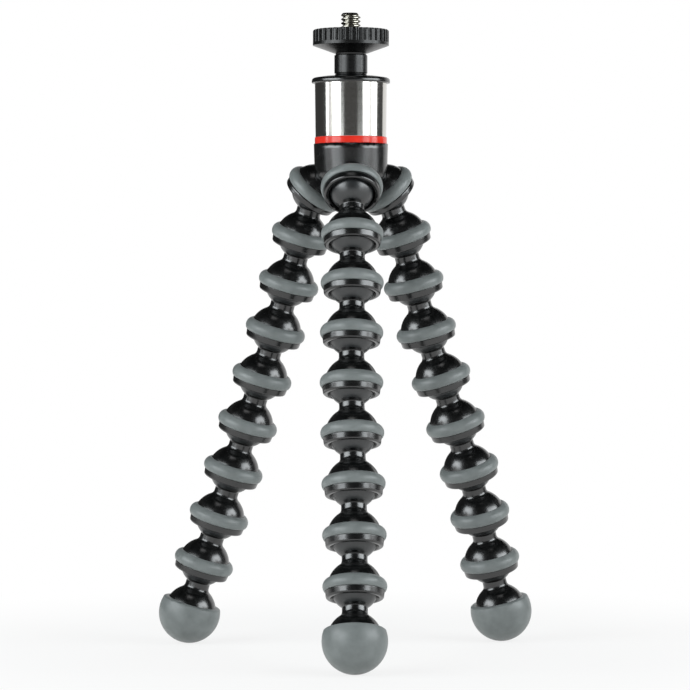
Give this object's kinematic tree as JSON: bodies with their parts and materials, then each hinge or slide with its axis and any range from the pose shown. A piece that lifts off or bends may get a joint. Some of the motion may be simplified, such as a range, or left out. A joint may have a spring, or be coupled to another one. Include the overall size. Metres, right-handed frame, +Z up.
{
  "type": "flexible leg tripod",
  "caption": "Small table tripod with three flexible legs of ball-and-socket links, a ball head with a fluted lock wheel, and a quarter inch camera stud.",
  "frame": {"origin": "on the floor, on the vertical axis of the hub, between the three feet", "axes": "+Z up along the hub and the camera stud, the front leg points along -Y, +X to the right of it"},
  "size_m": [0.1228, 0.1098, 0.2048],
  "materials": {
    "black_plastic": "moulded, semi-gloss black",
    "head_plastic": "moulded, satin black",
    "grip_rubber": "soft grey rubber",
    "foot_rubber": "soft grey rubber, on a black core",
    "red_plastic": "gloss red",
    "sleeve_steel": "turned, with fine rings round it",
    "stud_steel": "bright steel"
  },
  "bodies": {
    "hub": {"hub_body": "black_plastic", "hub_grip_rings": "grip_rubber", "accent_ring": "red_plastic", "steel_sleeve": "sleeve_steel", "collar_cap": "black_plastic"},
    "front_leg_link_1": {"front_leg_link_1": "black_plastic", "front_leg_grip_ring_1": "grip_rubber"},
    "front_leg_link_2": {"front_leg_link_2": "black_plastic", "front_leg_grip_ring_2": "grip_rubber"},
    "front_leg_link_3": {"front_leg_link_3": "black_plastic", "front_leg_grip_ring_3": "grip_rubber"},
    "front_leg_link_4": {"front_leg_link_4": "black_plastic", "front_leg_grip_ring_4": "grip_rubber"},
    "front_leg_link_5": {"front_leg_link_5": "black_plastic", "front_leg_grip_ring_5": "grip_rubber"},
    "front_leg_link_6": {"front_leg_link_6": "black_plastic", "front_leg_grip_ring_6": "grip_rubber"},
    "front_leg_link_7": {"front_leg_link_7": "black_plastic", "front_leg_grip_ring_7": "grip_rubber"},
    "front_leg_link_8": {"front_leg_link_8": "black_plastic", "front_leg_grip_ring_8": "grip_rubber"},
    "front_leg_foot": {"front_leg_foot": "foot_rubber"},
    "left_leg_link_1": {"left_leg_link_1": "black_plastic", "left_leg_grip_ring_1": "grip_rubber"},
    "left_leg_link_2": {"left_leg_link_2": "black_plastic", "left_leg_grip_ring_2": "grip_rubber"},
    "left_leg_link_3": {"left_leg_link_3": "black_plastic", "left_leg_grip_ring_3": "grip_rubber"},
    "left_leg_link_4": {"left_leg_link_4": "black_plastic", "left_leg_grip_ring_4": "grip_rubber"},
    "left_leg_link_5": {"left_leg_link_5": "black_plastic", "left_leg_grip_ring_5": "grip_rubber"},
    "left_leg_link_6": {"left_leg_link_6": "black_plastic", "left_leg_grip_ring_6": "grip_rubber"},
    "left_leg_link_7": {"left_leg_link_7": "black_plastic", "left_leg_grip_ring_7": "grip_rubber"},
    "left_leg_link_8": {"left_leg_link_8": "black_plastic", "left_leg_grip_ring_8": "grip_rubber"},
    "left_leg_foot": {"left_leg_foot": "foot_rubber"},
    "right_leg_link_1": {"right_leg_link_1": "black_plastic", "right_leg_grip_ring_1": "grip_rubber"},
    "right_leg_link_2": {"right_leg_link_2": "black_plastic", "right_leg_grip_ring_2": "grip_rubber"},
    "right_leg_link_3": {"right_leg_link_3": "black_plastic", "right_leg_grip_ring_3": "grip_rubber"},
    "right_leg_link_4": {"right_leg_link_4": "black_plastic", "right_leg_grip_ring_4": "grip_rubber"},
    "right_leg_link_5": {"right_leg_link_5": "black_plastic", "right_leg_grip_ring_5": "grip_rubber"},
    "right_leg_link_6": {"right_leg_link_6": "black_plastic", "right_leg_grip_ring_6": "grip_rubber"},
    "right_leg_link_7": {"right_leg_link_7": "black_plastic", "right_leg_grip_ring_7": "grip_rubber"},
    "right_leg_link_8": {"right_leg_link_8": "black_plastic", "right_leg_grip_ring_8": "grip_rubber"},
    "right_leg_foot": {"right_leg_foot": "foot_rubber"},
    "head_seat": {"ball_seat": "head_plastic"},
    "head_ball": {"ball_stem": "head_plastic", "camera_stud": "stud_steel"},
    "lock_wheel": {"lock_wheel": "head_plastic"}
  },
  "joints": [
    {"name": "front_leg_bend_1", "type": "hinge", "parent": "hub", "child": "front_leg_link_1", "pos_m": [0.0003, -0.0133, 0.14829], "axis": [-0.9997, -0.0227, 0], "range_deg": [-13, 55]},
    {"name": "front_leg_sway_2", "type": "hinge", "parent": "front_leg_link_1", "child": "front_leg_link_2", "pos_m": [0.00044, -0.0192, 0.1333], "axis": [0.0216, -0.9508, 0.309], "range_deg": [-34, 34]},
    {"name": "front_leg_bend_3", "type": "hinge", "parent": "front_leg_link_2", "child": "front_leg_link_3", "pos_m": [0.00041, -0.02417, 0.11799], "axis": [-0.9997, -0.0227, 0], "range_deg": [-32, 36]},
    {"name": "front_leg_sway_4", "type": "hinge", "parent": "front_leg_link_3", "child": "front_leg_link_4", "pos_m": [0.00023, -0.02862, 0.10251], "axis": [0.0218, -0.961, 0.2756], "range_deg": [-34, 34]},
    {"name": "front_leg_bend_5", "type": "hinge", "parent": "front_leg_link_4", "child": "front_leg_link_5", "pos_m": [0.00019, -0.03306, 0.08703], "axis": [-0.9997, -0.0227, 0], "range_deg": [-34.5, 33.5]},
    {"name": "front_leg_sway_6", "type": "hinge", "parent": "front_leg_link_5", "child": "front_leg_link_6", "pos_m": [0.00043, -0.03763, 0.07159], "axis": [0.0217, -0.9561, 0.2924], "range_deg": [-34, 34]},
    {"name": "front_leg_bend_7", "type": "hinge", "parent": "front_leg_link_6", "child": "front_leg_link_7", "pos_m": [0.00082, -0.04233, 0.0562], "axis": [-0.9997, -0.0227, 0], "range_deg": [-35, 33]},
    {"name": "front_leg_sway_8", "type": "hinge", "parent": "front_leg_link_7", "child": "front_leg_link_8", "pos_m": [0.00107, -0.0473, 0.04088], "axis": [0.0214, -0.9424, 0.3338], "range_deg": [-34, 34]},
    {"name": "front_leg_bend_9", "type": "hinge", "parent": "front_leg_link_8", "child": "front_leg_foot", "pos_m": [0.0012, -0.05267, 0.0257], "axis": [-0.9997, -0.0227, 0], "range_deg": [-36, 32]},
    {"name": "left_leg_bend_1", "type": "hinge", "parent": "hub", "child": "left_leg_link_1", "pos_m": [-0.01167, 0.00639, 0.14829], "axis": [0.4802, 0.8771, 0], "range_deg": [-11, 57]},
    {"name": "left_leg_sway_2", "type": "hinge", "parent": "left_leg_link_1", "child": "left_leg_link_2", "pos_m": [-0.01605, 0.00959, 0.13313], "axis": [-0.834, 0.4566, 0.3097], "range_deg": [-34, 34]},
    {"name": "left_leg_bend_3", "type": "hinge", "parent": "left_leg_link_2", "child": "left_leg_link_3", "pos_m": [-0.02029, 0.01223, 0.11782], "axis": [0.4802, 0.8771, 0], "range_deg": [-34, 34]},
    {"name": "left_leg_sway_4", "type": "hinge", "parent": "left_leg_link_3", "child": "left_leg_link_4", "pos_m": [-0.02466, 0.01462, 0.10251], "axis": [-0.834, 0.4566, 0.3097], "range_deg": [-34, 34]},
    {"name": "left_leg_bend_5", "type": "hinge", "parent": "left_leg_link_4", "child": "left_leg_link_5", "pos_m": [-0.02911, 0.0169, 0.08719], "axis": [0.4802, 0.8771, 0], "range_deg": [-35, 33]},
    {"name": "left_leg_sway_6", "type": "hinge", "parent": "left_leg_link_5", "child": "left_leg_link_6", "pos_m": [-0.03385, 0.01917, 0.07198], "axis": [-0.8316, 0.4553, 0.318], "range_deg": [-34, 34]},
    {"name": "left_leg_bend_7", "type": "hinge", "parent": "left_leg_link_6", "child": "left_leg_link_7", "pos_m": [-0.03861, 0.02114, 0.05672], "axis": [0.4802, 0.8771, 0], "range_deg": [-33.5, 34.5]},
    {"name": "left_leg_sway_8", "type": "hinge", "parent": "left_leg_link_7", "child": "left_leg_link_8", "pos_m": [-0.04338, 0.02279, 0.04143], "axis": [-0.8316, 0.4553, 0.318], "range_deg": [-34, 34]},
    {"name": "left_leg_bend_9", "type": "hinge", "parent": "left_leg_link_8", "child": "left_leg_foot", "pos_m": [-0.0484, 0.02426, 0.0262], "axis": [0.4802, 0.8771, 0], "range_deg": [-31.5, 36.5]},
    {"name": "right_leg_bend_1", "type": "hinge", "parent": "hub", "child": "right_leg_link_1", "pos_m": [0.01136, 0.00691, 0.14829], "axis": [0.5195, -0.8545, 0], "range_deg": [-12, 56]},
    {"name": "right_leg_sway_2", "type": "hinge", "parent": "right_leg_link_1", "child": "right_leg_link_2", "pos_m": [0.01648, 0.00985, 0.1333], "axis": [0.8193, 0.4982, 0.2839], "range_deg": [-34, 34]},
    {"name": "right_leg_bend_3", "type": "hinge", "parent": "right_leg_link_2", "child": "right_leg_link_3", "pos_m": [0.02046, 0.01211, 0.11786], "axis": [0.5195, -0.8545, 0], "range_deg": [-34, 34]},
    {"name": "right_leg_sway_4", "type": "hinge", "parent": "right_leg_link_3", "child": "right_leg_link_4", "pos_m": [0.02458, 0.01412, 0.10243], "axis": [0.8055, 0.4897, 0.3336], "range_deg": [-34, 34]},
    {"name": "right_leg_bend_5", "type": "hinge", "parent": "right_leg_link_4", "child": "right_leg_link_5", "pos_m": [0.02946, 0.01643, 0.08726], "axis": [0.5195, -0.8545, 0], "range_deg": [-35, 33]},
    {"name": "right_leg_sway_6", "type": "hinge", "parent": "right_leg_link_5", "child": "right_leg_link_6", "pos_m": [0.03428, 0.01936, 0.07217], "axis": [0.7978, 0.485, 0.3582], "range_deg": [-34, 34]},
    {"name": "right_leg_bend_7", "type": "hinge", "parent": "right_leg_link_6", "child": "right_leg_link_7", "pos_m": [0.03884, 0.02295, 0.05715], "axis": [0.5195, -0.8545, 0], "range_deg": [-31.5, 36.5]},
    {"name": "right_leg_sway_8", "type": "hinge", "parent": "right_leg_link_7", "child": "right_leg_link_8", "pos_m": [0.04249, 0.02649, 0.04187], "axis": [0.8234, 0.5006, 0.2671], "range_deg": [-34, 34]},
    {"name": "right_leg_bend_9", "type": "hinge", "parent": "right_leg_link_8", "child": "right_leg_foot", "pos_m": [0.04587, 0.0292, 0.02636], "axis": [0.5195, -0.8545, 0], "range_deg": [-32.5, 35.5]},
    {"name": "head_pan", "type": "hinge", "parent": "hub", "child": "head_seat", "pos_m": [0, 0, 0.17829], "axis": [0, 0, 1], "continuous": true},
    {"name": "head_tilt", "type": "hinge", "parent": "head_seat", "child": "head_ball", "pos_m": [0, 0, 0.17829], "axis": [1, 0, 0], "range_deg": [-20, 20]},
    {"name": "lock_wheel_turn", "type": "hinge", "parent": "head_ball", "child": "lock_wheel", "pos_m": [0, 0, 0.19943], "axis": [0, 0, 1], "continuous": true}
  ]
}
